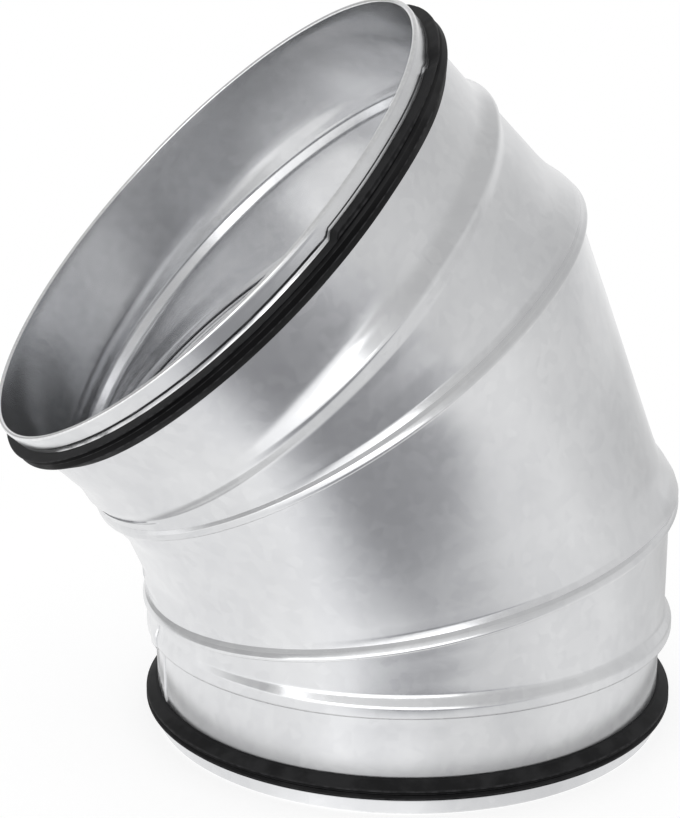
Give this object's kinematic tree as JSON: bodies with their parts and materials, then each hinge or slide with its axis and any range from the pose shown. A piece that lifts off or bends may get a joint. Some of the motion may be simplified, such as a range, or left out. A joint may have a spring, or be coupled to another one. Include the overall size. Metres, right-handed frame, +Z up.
{
  "type": "spiral duct elbow",
  "caption": "Segmented sheet-metal elbow for round duct, with lock seams between gores, stop beads and rubber lip gaskets on both spigots.",
  "frame": {"origin": "centre of the lower spigot's rim, on the floor", "axes": "+Z up along the lower spigot; the elbow bends in the XZ plane towards -X"},
  "size_m": [0.3184, 0.2584, 0.3328],
  "materials": {
    "galvanised_sheet": "bright galvanised sheet",
    "gasket_rubber": "satin black"
  },
  "bodies": {
    "root": {"lower_gore": "galvanised_sheet", "middle_gore": "galvanised_sheet", "upper_gore": "galvanised_sheet", "lower_gasket": "gasket_rubber", "upper_gasket": "gasket_rubber"}
  },
  "joints": []
}
